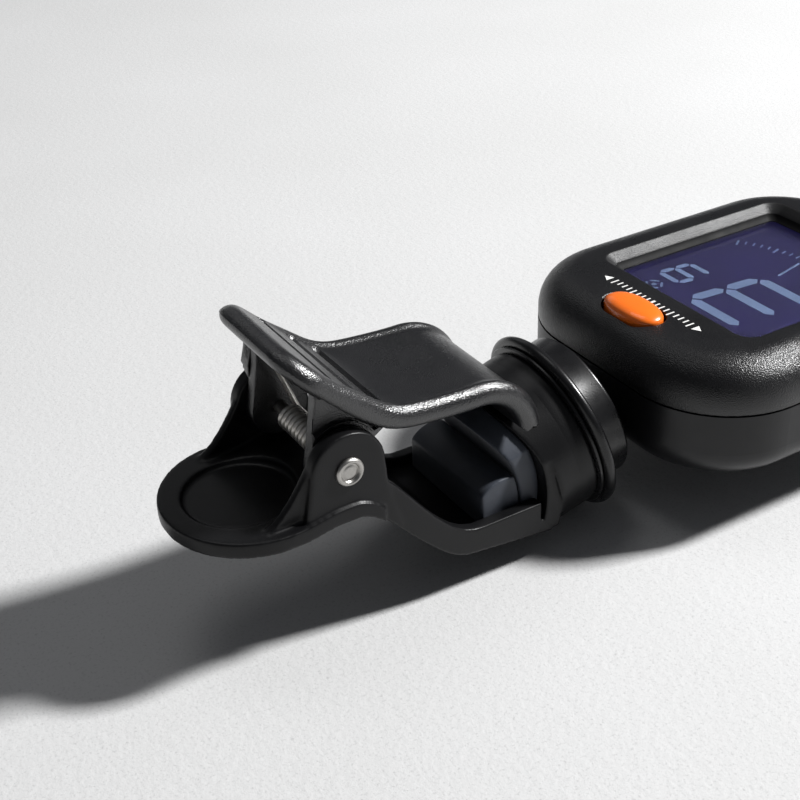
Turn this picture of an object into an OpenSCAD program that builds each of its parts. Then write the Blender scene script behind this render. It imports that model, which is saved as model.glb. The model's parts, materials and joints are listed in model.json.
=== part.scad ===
// Clip-on instrument tuner: a spring clip, a swivelling and tilting neck, and a display head.
// Units are millimetres. X runs from the clip to the head, Z is up, and the origin is the
// bottom centre of the whole tuner's box.

/* [Head] */
// Length of the head along X
head_length = 32.6; // [31:0.2:36]
// Width of the head along Y
head_width = 26; // [25.5:0.5:30]
// Thickness of the head
head_thickness = 10; // [9.8:0.1:11]
// Height of the head's top face above the surface that the clip stands on
head_top = 15; // [14.8:0.1:15.5]
// Corner radius of the head seen from above
head_corner = 8; // [6:0.5:10]
// Wall thickness of both shells
shell_wall = 1.1; // [1:0.1:1.3]
// Height of the parting line above the back of the head
parting_height = 6; // [5.8:0.1:6.2]

/* [Display] */
// Length of the display window along X
window_length = 19.8; // [16:0.2:20.4]
// Width of the display window along Y
window_width = 17.6; // [14:0.2:18]
// Width of the sloping bevel round the window
window_bevel = 1.2; // [0.6:0.1:1.4]
// Distance from the head's clip end to the window
window_margin = 7.2; // [6.8:0.1:7.6]

/* [Button] */
// Length of the oval power button along Y
button_length = 5.8; // [4:0.1:6.4]
// Width of the oval power button along X
button_width = 3.2; // [2.4:0.1:3.4]
// Height of the button's crown above the head
button_rise = 0.6; // [0.4:0.1:0.9]

/* [Battery] */
// Diameter of the coin cell
cell_diameter = 20; // [16:0.5:20]
// Thickness of the coin cell
cell_thickness = 3.2; // [2:0.1:3.2]

/* [Clip] */
// Radius of the round thumb paddle, which is half the clip's width
paddle_radius = 6.5; // [6.3:0.1:7]
// Thickness of the lower lever's plate
lever_plate = 1.2; // [1:0.1:1.4]
// Thickness of the upper lever's plate
upper_plate = 1.5; // [1.2:0.1:1.6]
// Height of the pivot pin above the surface that the clip stands on
pivot_height = 14.4; // [14.2:0.1:14.6]
// Radius of the pivot pin
pin_radius = 0.5; // [0.4:0.05:0.6]
// Radius of the round end walls inside the jaw
jaw_radius = 9.4; // [9.2:0.1:9.5]

/* [Neck] */
// Angle by which the neck rises towards the head
neck_rise = 15.2; // [14:0.2:16]
// Radius of the thin rimmed flange
flange_radius = 7.54; // [7.2:0.02:7.6]
// Radius of the neck cylinder
neck_radius = 6; // [5.6:0.1:6.2]
// Length of the neck from the clip's boss to its end face
neck_length = 3.6; // [3.4:0.1:3.8]

/* [Hidden] */
$fn = 64;

// Running gap between pieces that move past each other
gap = 0.05;
// Gap between pieces that only lie next to each other
clear = 0.1;
// Overlap that makes a cut run cleanly through a face
cut = 0.5;

// Head, from the clip end to the far end
head_far = 34.6;
head_near = head_far - head_length;
head_mid = (head_near + head_far) / 2;
head_bottom = head_top - head_thickness;
parting = head_bottom + parting_height;
top_round = 3.2;
back_round = 2.6;
groove = 0.12;

// Display stack, from the window down
window_near = head_near + window_margin;
window_mid = window_near + window_length / 2;
lens_top = head_top - 1.15;
lens_thickness = 0.8;
lcd_top = lens_top - lens_thickness - clear;
lcd_thickness = 1.1;
holder_top = lcd_top - lcd_thickness;
holder_thickness = 0.7;
board_top = holder_top - holder_thickness - 0.3;
board_thickness = 0.8;
lcd_length = window_length - 1.2;
lcd_width = window_width - 0.6;
strip_width = 0.9;
strip_length = lcd_width - 3;
strip_x = window_mid + lcd_length / 2 - 1.4;

// Battery bay
cell_x = 20.2;
cell_gap = 0.12;
door_top = head_bottom + 1;
cell_bottom = door_top + 0.1;
door_near = cell_x - cell_diameter / 2 - 0.9;
door_half = cell_diameter / 2 + 0.3;
tongue = 0.65;
tongue_thickness = 0.5;
rail_top = door_top + 0.6;

// Button
button_x = head_near + 3.5;
switch_height = 1.2;
pickup_x = head_near + 4.95;
press = 0.5;

// Cover screws: each has its place and the height of its head's underside
screws = [
    [head_near + 5.2, 7.75, head_bottom + 0.35],
    [head_far - 3.6, 8.1, door_top + 0.4]
];
screw_radius = 0.6;
screw_head = 1.05;
screw_boss = 1.8;
screw_length = 7;
boss_top = parting - groove / 2 - 0.02;

// Clip
pivot_x = -23.6;
paddle_x = paddle_radius - 34.6;
paddle_bottom = 10.1;
jaw_bottom = 3.2;
jaw_slope = -0.12;
ramp_start = -23.4;
ramp_end = -13.6;
ear_inner = 4.95;
ear_outer = 6.15;
wall_half = 6.1;
jaw_x = -16.5;
jaw_z = 5.5;
jaw_wall = 1.6;
upper_half = 6;
upper_flat = 16.9;
knee_x = -19.8;
upper_rear = -26.3;
rear_corner = 3.2;
bead_width = 0.8;
bead_height = 0.3;
groove_x = [-24, -22, -20.3];
groove_half = [4.9, 4.6, 4.3];
nose_x = -12.8;
nose_z = 11.6;
nose_radius = upper_flat - 0.2 - nose_z;
cheek_inner = 3.75;
cheek_outer = 4.8;
cheek_radius = 2.2;
ear_radius = 2.85;
pocket_radius = 3.5;
coil_radius = 0.82;
wire_radius = 0.2;
coil_pitch = 0.5;
coil_start = -3.2;
// Angles round the pin at which the coil begins and ends, seen along Y
coil_first = -45;
coil_last = 20.5;
coil_turns = 11 + (coil_last - coil_first) / 360;
lower_leg = 2.7;
upper_leg = 4.8;

// Neck and swivel: distances along the neck's own axis start at the clip boss's end face
swivel_x = -3.03;
swivel_z = 7.26;
boss_radius = 6.6;
boss_length = 3.4;
washer_thickness = 0.35;
flange_thickness = 0.95;
stub_radius = 2;
stub_length = 1.9;
tilt_at = 2.3;
tilt_pin_radius = 0.6;
lug_half = 1.5;
lug_radius = 1.35;
lug_base = 1.2;
pocket_half = 3.3;
tilt_x = swivel_x + tilt_at * cos(neck_rise);
tilt_z = swivel_z + tilt_at * sin(neck_rise);

// A smooth step from 0 to 1
function ease(t) = let (u = min(1, max(0, t))) u * u * (3 - 2 * u);

// Underside of the lower lever's plate at x
function plate_z(x) =
    paddle_bottom + (jaw_bottom - paddle_bottom) * ease((x - ramp_start) / (ramp_end - ramp_start))
    + jaw_slope * max(0, x - ramp_end) + 0.5 * ease((x + 28) / 4) * (1 - ease((x + 23.4) / 5));

// Top of the upper lever at x, up to where its nose turns down
function upper_z(x) = upper_flat - 0.2 * ease((x + 18) / 5) + ln(1 + exp(knee_x - x));

// Moves a shape from the neck's own frame, where +X is the neck's axis, to the clip
module along_neck(distance = 0) {
    translate([swivel_x, 0, swivel_z])
        rotate([0, -neck_rise, 0])
            translate([distance, 0, 0])
                children();
}

// A cylinder along X from 0 to length
module rod_x(radius, length) {
    rotate([0, 90, 0])
        cylinder(r = radius, h = length);
}

// A cylinder along Y that starts at y
module rod_y(radius, y, length) {
    translate([0, y, 0])
        rotate([-90, 0, 0])
            cylinder(r = radius, h = length);
}

// Extrudes an outline drawn in X and Z between two distances either side of the middle
module side_plates(inner, outer) {
    for (side = [0, 1])
        mirror([0, side, 0])
            translate([0, outer, 0])
                rotate([90, 0, 0])
                    linear_extrude(outer - inner)
                        children();
}

// Extrudes an outline drawn in X and Z across the middle
module across(half) {
    translate([0, half, 0])
        rotate([90, 0, 0])
            linear_extrude(2 * half)
                children();
}

// Half of a shell's section: a wall of the given reach with rounded edges
module half_section(reach, low, high, low_round, high_round) {
    middle = (low + high) / 2;
    intersection() {
        translate([0, low])
            square([reach, high - low]);
        union() {
            translate([0, low])
                square([reach - low_round, middle - low]);
            translate([0, middle])
                square([reach - high_round, high - middle]);
            translate([0, low + low_round])
                square([reach, high - low - low_round - high_round]);
            translate([reach - low_round, low + low_round])
                circle(low_round);
            translate([reach - high_round, high - high_round])
                circle(high_round);
        }
    }
}

// A slab with round corners seen from above and round edges seen from the side
module soft_slab(length, width, corner, low, high, low_round, high_round) {
    module section(half) {
        half_section(half, low, high, low_round, high_round);
        mirror([1, 0])
            half_section(half, low, high, low_round, high_round);
    }
    for (x = [-1, 1], y = [-1, 1])
        translate([x * (length / 2 - corner), y * (width / 2 - corner), 0])
            rotate_extrude()
                half_section(corner, low, high, low_round, high_round);
    rotate([90, 0, 90])
        linear_extrude(length - 2 * corner, center = true)
            section(width / 2);
    rotate([90, 0, 0])
        linear_extrude(width - 2 * corner, center = true)
            section(length / 2);
}

// The head's outer form, made smaller all round by inset
module head_form(inset = 0) {
    translate([head_mid, 0, 0])
        soft_slab(head_length - 2 * inset, head_width - 2 * inset, head_corner - inset,
                  head_bottom + inset, head_top - inset, back_round - inset, top_round - inset);
}

// A flat block with round corners, centred on x and the middle, from low to high
module block(x, length, width, low, high, corner = 0.8) {
    translate([x, 0, low])
        linear_extrude(high - low) {
            square([length - 2 * corner, width], center = true);
            square([length, width - 2 * corner], center = true);
            for (i = [-1, 1], j = [-1, 1])
                translate([i * (length / 2 - corner), j * (width / 2 - corner)])
                    circle(corner);
        }
}

// The button's oval seen from above, made larger all round by extra
module button_oval(extra = 0) {
    end_radius = button_width / 2 + extra;
    reach = (button_length - button_width) / 2;
    square([2 * end_radius, 2 * reach], center = true);
    for (side = [-1, 1])
        translate([0, side * reach])
            circle(end_radius);
}

// Places a child at each cover screw, at the height of its head or at a height of its own
module at_screws(height = undef) {
    for (screw = screws, side = [-1, 1])
        translate([screw[0], side * screw[1], height == undef ? screw[2] : height])
            children();
}

// A block whose outline grows by flare from its low face to its high one
module flared_block(x, length, width, low, high, corner, flare) {
    module section(half) {
        polygon([[-half, low], [half, low], [half + flare, high], [-half - flare, high]]);
    }
    for (i = [-1, 1], j = [-1, 1])
        translate([x + i * (length / 2 - corner), j * (width / 2 - corner), low])
            cylinder(r1 = corner, r2 = corner + flare, h = high - low);
    translate([x, 0, 0])
        rotate([90, 0, 90])
            linear_extrude(length - 2 * corner, center = true)
                section(width / 2);
    translate([x, 0, 0])
        rotate([90, 0, 0])
            linear_extrude(width - 2 * corner, center = true)
                section(length / 2);
}

// Outline of the lower lever's S-shaped plate, seen from the side
module plate_outline(from_x, to_x, steps = 36) {
    xs = [for (i = [0:steps]) from_x + (to_x - from_x) * i / steps];
    bottom = [for (x = xs) [x, plate_z(x)]];
    top = [for (i = [0:steps]) [xs[steps - i], plate_z(xs[steps - i]) + lever_plate]];
    polygon(concat(bottom, top));
}

// Everything above the lower lever's plate between two places along X, seen from the side
module above_plate(from_x, to_x, height = 16, steps = 12) {
    floor_line = [for (i = [0:steps])
        let (x = from_x + (to_x - from_x) * i / steps) [x, plate_z(x) + lever_plate]];
    polygon(concat(floor_line, [[to_x, height], [from_x, height]]));
}

// Outline of the curved end wall of the jaw, seen from the side
module wall_outline() {
    intersection() {
        difference() {
            translate([jaw_x, jaw_z])
                circle(jaw_radius + jaw_wall);
            translate([jaw_x, jaw_z])
                circle(jaw_radius);
        }
        translate([jaw_x, plate_z(-8)])
            square([jaw_radius + jaw_wall, 11.6 - plate_z(-8)]);
    }
}

// Outline of an outer ear of the lower lever, with its foot on the plate
module ear_outline() {
    translate([pivot_x, pivot_height])
        circle(ear_radius);
    polygon([
        [pivot_x - ear_radius, pivot_height],
        [pivot_x + ear_radius, pivot_height],
        [pivot_x + ear_radius + 0.3, 11],
        [pivot_x + ear_radius + 1.1, 8.4],
        [pivot_x + ear_radius + 1.1, plate_z(pivot_x + ear_radius + 1.1) + 0.4],
        [pivot_x + 1, plate_z(pivot_x + 1) + 0.4],
        [pivot_x - ear_radius - 0.7, plate_z(pivot_x - ear_radius) + 0.4]
    ]);
}

// Outline of the jaw's side wall, which falls from the ear to the pad and runs to the end wall
module side_wall_outline() {
    steps = 16;
    start_x = pivot_x + ear_radius - 0.4;
    end_x = -7.6;
    xs = [for (i = [0:steps]) start_x + (end_x - start_x) * i / steps];
    top = [for (x = xs) [x, 5.3 + 8.6 * pow(1 - ease((x - start_x + 2) / 10.4), 1.15)]];
    bottom = [for (i = [0:steps]) [xs[steps - i], plate_z(xs[steps - i]) + 0.4]];
    polygon(concat(top, bottom));
}

// Outline of the curved rib that runs from the ear down to the paddle
module rib_outline() {
    steps = 12;
    arc = [for (i = [0:steps]) let (t = i / steps) [-30.2 + 4.2 * t, 11.2 + 4.6 * pow(t, 1.7)]];
    polygon(concat(arc, [[-22, 15.4], [-22, plate_z(-22) + 0.4], [-30.2, plate_z(-30) + 0.4]]));
}

module lower_lever() {
    color("#1b1b1d")
        difference() {
            union() {
                intersection() {
                    across(paddle_radius)
                        plate_outline(-34.6, -6.6);
                    union() {
                        translate([paddle_x, 0, 0])
                            cylinder(r = paddle_radius, h = 16);
                        translate([paddle_x, -paddle_radius, 0])
                            cube([7, 2 * paddle_radius, 16]);
                        translate([paddle_x, -wall_half, 0])
                            cube([30, 2 * wall_half, 16]);
                    }
                }
                // The end wall, round about the neck's axis above the side walls
                intersection() {
                    across(wall_half)
                        wall_outline();
                    union() {
                        along_neck(-12)
                            rod_x(boss_radius, 16);
                        translate([-16, -10, 0])
                            cube([16, 20, 5.6]);
                    }
                }
                side_plates(ear_inner, ear_outer)
                    ear_outline();
                side_plates(5.1, wall_half)
                    side_wall_outline();
                side_plates(ear_inner, 5.6)
                    rib_outline();
                difference() {
                    intersection() {
                        along_neck(-boss_length)
                            rod_x(boss_radius, boss_length);
                        translate([jaw_x + jaw_radius - 0.4, -10, 0.3])
                            cube([20, 20, 20]);
                    }
                    across(9)
                        translate([jaw_x, jaw_z])
                            circle(jaw_radius);
                }
            }
            // Thumb dish in the paddle
            translate([paddle_x - 0.9, 0, paddle_bottom + lever_plate - 0.3])
                cylinder(r = 4, h = 2);
            // Pin holes
            translate([pivot_x, 0, pivot_height])
                rod_y(pin_radius + gap, -8, 16);
            // Swivel bore, and the pocket for the screw head behind it
            along_neck(-stub_length - cut)
                rod_x(stub_radius + gap, stub_length + 2 * cut);
            along_neck(-stub_length - 4)
                rod_x(3.1, 4);
        }
}

// Outline of the upper lever's plate, with its nose turned down; its top can be raised
module upper_outline(raise = 0) {
    steps = 24;
    xs = [for (i = [0:steps]) upper_rear + (nose_x - upper_rear) * i / steps];
    top = [for (x = xs) [x, upper_z(x) + raise]];
    slope = [for (x = xs) (upper_z(x + 0.01) - upper_z(x - 0.01)) / 0.02];
    under = [for (i = [0:steps])
        let (k = steps - i, n = sqrt(1 + slope[k] * slope[k]))
        [xs[k] + upper_plate * slope[k] / n, upper_z(xs[k]) - upper_plate / n]];
    polygon(concat(top, under));
    intersection() {
        translate([nose_x, nose_z])
            difference() {
                circle(nose_radius + raise);
                circle(nose_radius - upper_plate);
            }
        translate([nose_x - 0.01, 11.95])
            square(nose_radius + 1);
    }
}

// Outline of the web that joins the upper lever's plate to its inner cheeks
module cheek_outline() {
    translate([pivot_x, pivot_height])
        circle(cheek_radius);
    polygon([
        [pivot_x - cheek_radius, pivot_height],
        [-25.5, 17.3],
        [-25, 20.3],
        [-22, 18.4],
        [-19.4, 16.2],
        [-19, 15.4],
        [pivot_x + cheek_radius, pivot_height]
    ]);
}

// The upper lever's outline seen from above, with round rear corners
module upper_plan(inset = 0) {
    half = upper_half - inset;
    rear = upper_rear - 0.75 * upper_plate + inset;
    corner = rear_corner - inset;
    translate([rear, -half + corner])
        square([23, 2 * (half - corner)]);
    translate([rear + corner, -half])
        square([23, 2 * half]);
    for (side = [-1, 1])
        translate([rear + corner, side * (half - corner)])
            circle(corner);
}

module upper_lever() {
    color("#1d1d20")
        difference() {
            union() {
                intersection() {
                    across(upper_half)
                        upper_outline();
                    linear_extrude(30)
                        upper_plan();
                }
                // Raised bead round the plate's edge
                intersection() {
                    across(upper_half)
                        upper_outline(bead_height);
                    linear_extrude(30)
                        difference() {
                            upper_plan();
                            upper_plan(bead_width);
                        }
                }
                side_plates(cheek_inner, cheek_outer)
                    cheek_outline();
                side_plates(cheek_outer - 0.4, upper_half)
                    difference() {
                        cheek_outline();
                        translate([pivot_x, pivot_height])
                            circle(pocket_radius);
                    }
            }
            translate([pivot_x, 0, pivot_height])
                rod_y(pin_radius + gap, -8, 16);
            // Three grip grooves across the thumb end
            for (i = [0:2])
                translate([groove_x[i], 0, upper_z(groove_x[i]) + 0.2])
                    rod_y(0.45, -groove_half[i], 2 * groove_half[i]);
        }
}

module pivot_pin() {
    color("silver")
        translate([pivot_x, 0, pivot_height]) {
            rod_y(pin_radius, -ear_outer, 2 * ear_outer);
            for (side = [0, 1])
                mirror([0, side, 0])
                    difference() {
                        rod_y(1.05, ear_outer, 0.3);
                        rod_y(0.55, ear_outer + 0.2, 1);
                    }
        }
}

// Direction from the pin's centre at an angle round it, and the centre of the coil's wire there
function outward(a) = [cos(a), 0, sin(a)];
function coil_point(a) = coil_radius * outward(a)
    + [0, coil_start + coil_pitch * (a - coil_first) / 360, 0];

// Sections of the spring's wire, each a centre and an outward direction: a straight leg that
// bears on the lower lever, the coil, and a straight leg that bears on the upper lever
coil_end = coil_last + 360 * 11;
coil_steps = floor(14 * coil_turns);
spring_path = concat(
    [[coil_point(coil_first) + lower_leg * [sin(coil_first), 0, -cos(coil_first)],
      outward(coil_first)]],
    [for (i = [0:coil_steps])
        let (a = coil_first + (coil_end - coil_first) * i / coil_steps)
        [coil_point(a), outward(a)]],
    [[coil_point(coil_end) + upper_leg * [-sin(coil_end), 0, cos(coil_end)],
      outward(coil_end)]]
);

// A round wire swept along sections, each a centre and an outward direction
module wire(path, radius, sides = 8) {
    count = len(path);
    points = [for (p = path, k = [0:sides - 1])
        let (b = 360 * k / sides) p[0] + radius * (cos(b) * p[1] + sin(b) * [0, 1, 0])];
    walls = [for (i = [0:count - 2], k = [0:sides - 1])
        let (a = i * sides + k, b = i * sides + (k + 1) % sides) [a, b, b + sides, a + sides]];
    ends = [[for (k = [0:sides - 1]) sides - 1 - k], [for (k = [0:sides - 1]) (count - 1) * sides + k]];
    polyhedron(points, concat(walls, ends), convexity = 10);
}

module torsion_spring() {
    color("silver")
        translate([pivot_x, 0, pivot_height])
            wire(spring_path, wire_radius);
}

// The circle that hollows out the wall pad, which the lower pad stands just inside
module pad_circle(extra = 0) {
    translate([jaw_x - 1.1, jaw_z - 0.7])
        circle(jaw_radius - 0.5 + extra);
}

module lower_pad() {
    color("#353a44")
        across(4.9)
            intersection() {
                translate([-10.2, 5.2])
                    circle(2.6);
                above_plate(-12.2, -8);
                pad_circle(-clear);
            }
}

module wall_pad() {
    color("#3a404b")
        intersection() {
            across(5)
                intersection() {
                    difference() {
                        translate([jaw_x, jaw_z])
                            circle(jaw_radius - 0.02);
                        pad_circle();
                    }
                    translate([0, 0.03])
                        above_plate(-13.2, -7, plate_z(-9) + lever_plate + 9.8);
                }
            along_neck(-14)
                rod_x(boss_radius - 0.4, 16);
        }
}

module upper_pad() {
    color("#353a44")
        across(4.2)
            polygon([[-18.2, 15.45], [-14.2, 15.15], [-14.2, 14.75], [-18.2, 14.85]]);
}

module swivel_washer() {
    color("silver")
        along_neck()
            difference() {
                rod_x(flange_radius - 0.25, washer_thickness - 0.02);
                translate([-cut, 0, 0])
                    rod_x(stub_radius + gap, 2);
            }
}

module swivel_screw() {
    color("silver")
        along_neck(-stub_length) {
            difference() {
                translate([-0.9, 0, 0])
                    rod_x(2.6, 0.88);
                translate([-1, -1.4, -0.25])
                    cube([0.45, 2.8, 0.5]);
                translate([-1, -0.25, -1.4])
                    cube([0.45, 0.5, 2.8]);
            }
            translate([-0.5, 0, 0])
                rod_x(0.8, 2.4);
        }
}

module neck() {
    color("#202023")
        difference() {
            union() {
                along_neck(washer_thickness)
                    rod_x(flange_radius, flange_thickness);
                along_neck(washer_thickness)
                    rod_x(neck_radius, neck_length - washer_thickness);
                along_neck(-stub_length)
                    rod_x(stub_radius, stub_length + 1);
            }
            along_neck(-stub_length - cut)
                rod_x(0.85, stub_length + cut);
            // Pocket for the head's lug, and the hole for the tilt pin, open on one side
            along_neck(tilt_at - lug_radius - 0.25)
                translate([0, -lug_half - gap, -pocket_half])
                    cube([6, 2 * (lug_half + gap), 2 * pocket_half]);
            along_neck(tilt_at)
                rod_y(tilt_pin_radius + gap, -4.2, 12);
        }
}

module tilt_pin() {
    color("silver")
        along_neck(tilt_at)
            rod_y(tilt_pin_radius, -4.1, 9.2);
}

module tilt_knuckle() {
    color("#2a2a2c")
        difference() {
            union() {
                translate([tilt_x, 0, tilt_z])
                    rod_y(lug_radius, -lug_half + clear, 2 * (lug_half - clear));
                translate([tilt_x, -lug_half + clear, tilt_z - lug_radius])
                    cube([head_near + shell_wall + 1 - tilt_x, 2 * (lug_half - clear), 2 * lug_radius]);
                translate([head_near + shell_wall + 0.6, -3.4, tilt_z - lug_radius + clear])
                    cube([lug_base, 6.8, 2 * lug_radius + 0.5]);
            }
            translate([tilt_x, 0, tilt_z])
                rod_y(tilt_pin_radius + gap, -4, 8);
        }
}

module rear_cover() {
    color("#1c1c1e")
        difference() {
            union() {
                intersection() {
                    difference() {
                        head_form();
                        head_form(shell_wall);
                    }
                    translate([head_near - 1, -20, 0])
                        cube([40, 40, parting - groove / 2]);
                }
                intersection() {
                    head_form(0.4);
                    at_screws(head_bottom)
                        cylinder(r = screw_boss, h = boss_top - head_bottom);
                }
                // Cup that holds the cell, and the rails above the door's tongues
                translate([cell_x, 0, head_bottom + 0.5])
                    difference() {
                        cylinder(r = cell_diameter / 2 + 0.85, h = cell_bottom + 2 - head_bottom);
                        translate([0, 0, -1])
                            cylinder(r = cell_diameter / 2 + cell_gap, h = 9);
                        translate([0, -2.6, -1])
                            cube([20, 5.2, 9]);
                    }
                for (side = [-1, 1])
                    translate([door_near + 3, side * (door_half + 0.45) - 0.65, door_top - 0.2])
                        cube([16, 1.3, rail_top - door_top + 0.2]);
            }
            // Opening for the door and its tongues
            translate([door_near, -door_half - gap, head_bottom - 1])
                cube([40, 2 * (door_half + gap), 1 + door_top - head_bottom + gap]);
            translate([door_near - 0.6, -door_half - tongue - gap, door_top - tongue_thickness - gap])
                cube([40, 2 * (door_half + tongue + gap), tongue_thickness + 2 * gap]);
            translate([cell_x, 0, head_bottom - 1])
                cylinder(r = cell_diameter / 2 + cell_gap, h = 5);
            translate([cell_x, -8, head_bottom - 1])
                cube([10, 16, 3]);
            // Slot for the knuckle's lug
            translate([head_near - 2, -lug_half, tilt_z - lug_radius - clear])
                cube([6, 2 * lug_half, 2 * lug_radius + 2 * clear]);
            // Screw holes and the pockets for their heads
            at_screws(head_bottom - 1)
                cylinder(r = screw_radius + 0.12, h = 9);
            at_screws()
                translate([0, 0, 0.65 - 3])
                    cylinder(r = screw_head + clear, h = 3);
        }
}

module front_cover() {
    color("#1a1a1c")
        difference() {
            union() {
                intersection() {
                    difference() {
                        head_form();
                        head_form(shell_wall);
                    }
                    translate([head_near - 1, -20, parting + groove / 2])
                        cube([40, 40, 10]);
                }
                intersection() {
                    head_form(0.4);
                    at_screws(parting + groove / 2)
                        cylinder(r = screw_boss, h = head_top - parting);
                }
            }
            // Window with its sloping bevel
            flared_block(window_mid, window_length - 2 * window_bevel,
                         window_width - 2 * window_bevel, lens_top - 0.15, head_top,
                         0.5, window_bevel);
            block(window_mid, window_length - 2 * window_bevel, window_width - 2 * window_bevel,
                  lens_top - 2, head_top - 1, 0.5);
            flared_block(window_mid, window_length - 0.02, window_width - 0.02,
                         head_top - 0.01, head_top + 1, 1.7, 0.4);
            // Button opening
            translate([button_x, 0, head_top - 3])
                linear_extrude(5)
                    button_oval(0.1);
            // Pilot holes for the cover screws
            at_screws()
                cylinder(r = screw_radius + gap, h = screw_length + 0.2);
        }
}

module display_lens() {
    color([0.75, 0.8, 0.9, 0.35])
        block(window_mid, window_length, window_width, lens_top - lens_thickness, lens_top - 0.02, 1);
}

module lcd_panel() {
    color("#4a4aa8")
        block(window_mid, lcd_length, lcd_width, lcd_top - lcd_thickness, lcd_top, 0.3);
}

module lcd_holder() {
    color("#e8e8e4")
        difference() {
            block(window_mid, lcd_length + 0.8, lcd_width + 0.6, holder_top - holder_thickness,
                  holder_top - 0.02, 0.6);
            // Recess below the panel, and the slot for the contact strip
            block(window_mid - 1, lcd_length - 4.6, lcd_width - 3, holder_top - 0.35,
                  holder_top + 1, 0.6);
            translate([strip_x - clear, -strip_length / 2 - clear, board_top])
                cube([strip_width + 2 * clear, strip_length + 2 * clear, 4]);
        }
}

module contact_strip() {
    color("#b8b0a8")
        translate([strip_x, -strip_length / 2, board_top])
            cube([strip_width, strip_length, holder_top - board_top - 0.02]);
}

module circuit_board() {
    color("#1f6b3a")
        difference() {
            block(head_mid, head_length - 4.6, head_width - 4, board_top - board_thickness,
                  board_top - 0.02, 5);
            at_screws(head_bottom)
                cylinder(r = screw_boss + 0.2, h = 12);
        }
}

module tuner_chip() {
    color("#111114")
        translate([head_near + 3.4, 2.5, board_top])
            cube([3, 3, 0.7]);
}

module tact_switch() {
    color("#c9c9cc")
        translate([button_x - 1.6, -1.8, board_top])
            cube([3.2, 3.6, switch_height]);
}

module power_button() {
    color("#ff7a1a") {
        translate([button_x, 0, head_top - shell_wall - 0.5])
            linear_extrude(shell_wall + 0.5 + button_rise * 0.4)
                button_oval();
        // Ends that keep the button inside the cover
        translate([button_x, 0, head_top - shell_wall - 1])
            linear_extrude(0.6)
                square([button_width - 0.8, button_length + 0.8], center = true);
        intersection() {
            translate([button_x, 0, head_top + button_rise * 0.4 - 0.01])
                linear_extrude(3)
                    button_oval();
            // A shallow crown along the button
            translate([button_x, 0, head_top + button_rise - 12])
                rod_y(12, -5, 10);
            translate([button_x, 0, head_top + button_rise - 14])
                sphere(14);
        }
        // Stem that presses the switch
        translate([button_x, 0, board_top + switch_height + press + 0.05])
            cylinder(r = 0.9, h = head_top - shell_wall - 0.3 - board_top - switch_height - press);
    }
}

module pickup_disc() {
    color("#d8b56a")
        translate([pickup_x, 0, head_bottom + shell_wall + 0.35])
            cylinder(r = 1.9, h = 0.4);
}

module pickup_pad() {
    color("#44464a")
        translate([pickup_x, 0, head_bottom + shell_wall + 0.01])
            cylinder(r = 1.6, h = 0.33);
}

module coin_cell() {
    color("#c8c8c8")
        translate([cell_x, 0, cell_bottom]) {
            cylinder(d = cell_diameter - 1.4, h = 0.4);
            translate([0, 0, 0.38])
                cylinder(d = cell_diameter, h = cell_thickness - 0.38);
        }
}

module cell_contact_plus() {
    color("#c9a84a") {
        translate([cell_x + cell_diameter / 2 + 0.15, -2, cell_bottom + 0.2])
            cube([0.25, 4, board_top - board_thickness - cell_bottom - 0.25]);
        translate([cell_x + cell_diameter / 2 + 0.15, -2, board_top - board_thickness - 0.35])
            cube([1.4, 4, 0.25]);
    }
}

module cell_contact_minus() {
    color("#c9a84a")
        translate([cell_x - 7, -1.5, board_top - board_thickness - 0.3])
            cube([10, 3, 0.25]);
}

module battery_door() {
    color("#1c1c1e")
        difference() {
            union() {
                intersection() {
                    head_form();
                    translate([door_near + gap, -door_half, head_bottom])
                        cube([40, 2 * door_half, door_top - head_bottom]);
                }
                // Tongues that run in the case's grooves
                intersection() {
                    head_form(0.3);
                    translate([door_near - 0.5, -door_half - tongue, door_top - tongue_thickness])
                        cube([40, 2 * (door_half + tongue), tongue_thickness]);
                }
            }
            // Finger ridges
            for (i = [0:3])
                translate([door_near + 2 + 1.2 * i, 0, head_bottom])
                    rod_y(0.25, -4, 8);
        }
}

module cover_screws() {
    color("silver")
        at_screws()
            difference() {
                union() {
                    cylinder(r = screw_head, h = 0.6);
                    translate([0, 0, 0.5])
                        cylinder(r = screw_radius, h = screw_length - 0.5);
                }
                translate([-0.75, -0.12, -cut])
                    cube([1.5, 0.24, cut + 0.3]);
                translate([-0.12, -0.75, -cut])
                    cube([0.24, 1.5, cut + 0.3]);
            }
}

lower_lever();
upper_lever();
pivot_pin();
torsion_spring();
lower_pad();
wall_pad();
upper_pad();
swivel_washer();
swivel_screw();
neck();
tilt_pin();
tilt_knuckle();
rear_cover();
front_cover();
display_lens();
lcd_panel();
lcd_holder();
contact_strip();
circuit_board();
tuner_chip();
tact_switch();
power_button();
pickup_disc();
pickup_pad();
coin_cell();
cell_contact_plus();
cell_contact_minus();
battery_door();
cover_screws();
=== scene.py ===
import json
import math

import bmesh
import bpy
import numpy as np
from mathutils import Matrix, Vector


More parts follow.
